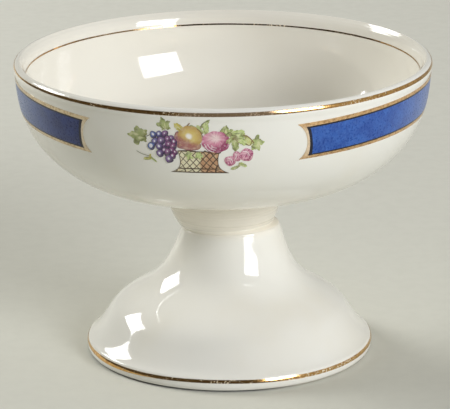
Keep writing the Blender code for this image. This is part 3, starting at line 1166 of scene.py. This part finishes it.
def leafPrint():
    made, tree, sockets = newMaterial("leafPrint")
    tone = toneOf(tree)
    streak, reach, _ = fanStreaks(tree, 0.0, 0.5, 3.2)
    body = blend(tree, tone, rgb(148, 156, 96), rgb(192, 210, 136))
    body = tint(tree, body, rgb(200, 184, 70), tone, 1.0, 1.5)
    body = tint(tree, body, rgb(216, 216, 168), streak, 0.52, 0.66, 0.75)
    body = tint(tree, body, rgb(94, 100, 52), streak, 0.5, 0.36, 0.7)
    body = tint(tree, body, rgb(110, 88, 54), reach, 0.42, 0.05, 0.6)
    printInk(tree, sockets, body, 0.16)
    return made


def peachPrint():
    made, tree, sockets = newMaterial("peachPrint")
    paint = useGroup(tree, roundPaint, Lean=0.03)
    across, up, _ = splitPlace(tree, uvPlace(tree))
    stipple = noise(tree, objectPlace(tree), 1900.0, 2.0)
    gold = tint(tree, rgb(218, 194, 112), rgb(190, 155, 86), paint["Edge"], 0.35, 1.0)
    low = plus(tree, times(tree, across, 0.5), up)
    low = plus(tree, low, times(tree, stipple, 0.3))
    gold = tint(tree, gold, rgb(166, 102, 96), low, 0.88, 0.5)
    gold = tint(tree, gold, rgb(250, 246, 240), paint["Gleam"], 0.36, 0.12)
    plum = tint(tree, rgb(150, 84, 102), rgb(192, 146, 130), stipple, 0.36, 0.6)
    plum = tint(tree, plum, rgb(106, 52, 72), paint["Edge"], 0.7, 1.0, 0.6)
    printInk(tree, sockets, blend(tree, toneOf(tree), gold, plum), 0.16)
    return made


def bloomPrint():
    made, tree, sockets = newMaterial("bloomPrint")
    streak, reach, right = fanStreaks(tree, 0.52, 0.68, 3.6)
    deep = plus(tree, reach, times(tree, right, 0.35))
    body = tint(tree, rgb(240, 214, 214), rgb(210, 132, 160), deep, 0.04, 0.3)
    body = tint(tree, body, rgb(150, 36, 96), deep, 0.25, 0.58)
    body = tint(tree, body, rgb(246, 222, 232), streak, 0.52, 0.68, 0.45)
    body = tint(tree, body, rgb(140, 46, 94), streak, 0.48, 0.34, 0.4)
    # the small ones are loose petals, pale with rose strokes between
    petals = tint(tree, rgb(232, 182, 198), rgb(156, 50, 106), streak, 0.56, 0.42)
    petals = tint(tree, petals, rgb(206, 156, 160), reach, 0.36, 0.56, 0.5)
    small = remap(tree, toneOf(tree), 0.5, 0.9, 0.0, 0.65)
    printInk(tree, sockets, blend(tree, small, body, petals), 0.1)
    return made


def wickerPrint():
    made, tree, sockets = newMaterial("wickerPrint")
    across, up, _ = splitPlace(tree, uvPlace(tree))
    wash = noise(tree, objectPlace(tree), 900.0, 2.0)
    side = plus(tree, across, times(tree, wash, 0.12))
    body = tint(tree, rgb(230, 224, 192), rgb(190, 146, 110), side, 0.55, 0.62)
    body = tint(tree, body, rgb(220, 200, 156), wash, 0.5, 0.68, 0.7)
    rise = times(tree, up, 3.1)
    lines = []
    for way in ("ADD", "SUBTRACT"):
        run = calc(tree, way, times(tree, across, 5.8), rise)
        near = calc(tree, "ABSOLUTE", minus(tree, calc(tree, "FRACT", run), 0.5))
        near = minus(tree, near, times(tree, across, 0.04))
        lines.append(remap(tree, near, 0.1, 0.04))
    rims = calc(tree, "MAXIMUM", remap(tree, up, 0.07, 0.04), remap(tree, up, 0.95, 0.98))
    band = calc(tree, "ABSOLUTE", minus(tree, up, 0.2))
    rims = calc(tree, "MAXIMUM", rims, remap(tree, band, 0.035, 0.02))
    edge = calc(tree, "ABSOLUTE", minus(tree, across, 0.5))
    rims = calc(tree, "MAXIMUM", rims, remap(tree, edge, 0.478, 0.488))
    inked = calc(tree, "MAXIMUM", calc(tree, "MAXIMUM", *lines), rims)
    body = blend(tree, times(tree, inked, 0.95), body, rgb(66, 46, 32))
    printInk(tree, sockets, body, 0.06)
    return made


def strokePrint():
    made, tree, sockets = newMaterial("strokePrint")
    coat = addNode(tree, "ShaderNodeAttribute", attribute_name="paint").outputs["Color"]
    printInk(tree, sockets, coat, 0.12)
    return made


# the last number is the thickness of the film in millimetres; strokes bring their own
drawings = [
    (drawBasket(), wickerPrint(), "Wicker", 0.012),
    (drawLeaves(), leafPrint(), "Leaves", 0.002),
    (drawRounds(peachSpots, "peaches"), peachPrint(), "Peaches", 0.003),
    (drawRounds(bloomSpots, "blooms"), bloomPrint(), "Blooms", 0.003),
    (drawGrapes(), grapePrint(), "Grapes", 0.001),
    (drawStrokes(), strokePrint(), "Strokes", 0.0),
]
for side, centre in basketCentres.items():
    for drawing, material, label, film in drawings:
        piece = copyPiece(drawing)
        nameIt(piece, side + label)
        wrapOnBowl(piece, centre)
        if film:
            thicken(piece, 0, film * mm)
        finishPiece(piece, "fruit_basket_" + side, material)
for drawing, *_ in drawings:
    dropPiece(drawing)
print("fruit baskets printed")


# stage: pale floor, two soft boxes, dim room

lamps = {
    "keyBox": {
        "azimuth": 41.8,
        "elevation": 24.0,
        "away": 1.0,
        "wide": 0.43,
        "tall": 0.338,
        "power": 6.6,
        "tint": (0.98, 0.99, 1.02),
    },
    "backBox": {
        "azimuth": -119.0,
        "elevation": 29.0,
        "away": 1.4,
        "wide": 0.62,
        "tall": 0.38,
        "power": 12.4,
        "tint": (1.0, 1.0, 0.98),
    },
}
lampAim = Vector((0, 0, 0.03))
room = {
    "low": (0.085, 0.08, 0.07, 1.0),
    "high": (0.48, 0.47, 0.43, 1.0),
    "wall": (0.46, 0.45, 0.42, 1.0),
    "back": (0.42, 0.42, 0.39, 1.0),
}
paper = {
    "size": 4.0,
    "near": rgb(210, 210, 200),
    "far": rgb(225, 225, 216),
    "grain": rgb(190, 190, 180),
}
# aim and distance in millimetres
camera = {
    "aim": (0.197, 0.0, 36.382),
    "away": 720.0,
    "elevation": 16.897,
    "roll": -0.539,
    "lens": 232.45,
    "sensor": 36.0,
    "nearest": 0.01,
}


def aimVector(azimuth, elevation):
    turn, rise = radians(azimuth), radians(elevation)
    return Vector((sin(turn) * cos(rise), -cos(turn) * cos(rise), sin(rise)))


def makeFloor():
    bpy.ops.mesh.primitive_plane_add(size=paper["size"], location=(0, 0, 0))
    floor = bpy.context.object
    floor.name = "paperFloor"
    made, tree, sockets = newMaterial("paperSweep", Roughness=0.75)
    place = objectPlace(tree)
    _, depth, _ = splitPlace(tree, place)
    # painted light and shade: the floor is painted darker towards the front and lighter towards the back,
    # for the way the light falls across it
    tone = tint(tree, paper["near"], paper["far"], depth, -0.12, 0.42)
    grain = noise(tree, place, 240.0, 4.0, 0.6)
    tone = tint(tree, tone, paper["grain"], grain, 0.35, 0.7, 0.12)
    tree.links.new(tone, sockets["Base Color"])
    floor.data.materials.append(made)


def makeLamp(name, facts):
    back = aimVector(facts["azimuth"], facts["elevation"])
    data = bpy.data.lights.new(name, "AREA")
    data.shape = "RECTANGLE"
    data.size = facts["wide"]
    data.size_y = facts["tall"]
    data.energy = facts["power"]
    data.color = facts["tint"]
    lamp = bpy.data.objects.new(name, data)
    bpy.context.scene.collection.objects.link(lamp)
    lamp.location = back * facts["away"] + lampAim
    lamp.rotation_euler = (-back).to_track_quat("-Z", "Y").to_euler()


def makeRoom():
    # dim round about, lighter overhead and behind, with a pale wall on the right
    world = bpy.data.worlds.new("room")
    world.use_nodes = True
    tree = world.node_tree
    right, depth, rise = splitPlace(tree, addNode(tree, "ShaderNodeTexCoord").outputs["Generated"])
    lit = plus(tree, rise, times(tree, depth, 0.5))
    shade = tint(tree, room["low"], room["high"], lit, 0.5, 1.05)
    wallShare = times(tree, remap(tree, right, 0.5, 0.85), remap(tree, rise, 0.7, 0.4))
    shade = blend(tree, wallShare, shade, room["wall"])
    behind = times(tree, remap(tree, depth, 0.55, 0.85), remap(tree, rise, 0.4, 0.1))
    shade = blend(tree, behind, shade, room["back"])
    tree.links.new(shade, tree.nodes["Background"].inputs["Color"])
    bpy.context.scene.world = world


def makeCamera():
    data = bpy.data.cameras.new("photoCamera")
    data.lens = camera["lens"]
    data.sensor_width = camera["sensor"]
    data.clip_start = camera["nearest"]
    eye = bpy.data.objects.new("photoCamera", data)
    bpy.context.scene.collection.objects.link(eye)
    eye.location = Vector(camera["aim"]) * mm + aimVector(0, camera["elevation"]) * camera["away"] * mm
    tilt = Matrix.Rotation(radians(90 - camera["elevation"]), 3, "X")
    roll = Matrix.Rotation(radians(camera["roll"]), 3, "Z")
    eye.rotation_euler = (tilt @ roll).to_euler()
    bpy.context.scene.camera = eye


makeFloor()
for name, facts in lamps.items():
    makeLamp(name, facts)
makeRoom()
makeCamera()
bpy.context.scene.view_settings.view_transform = "Standard"
print("stage set")
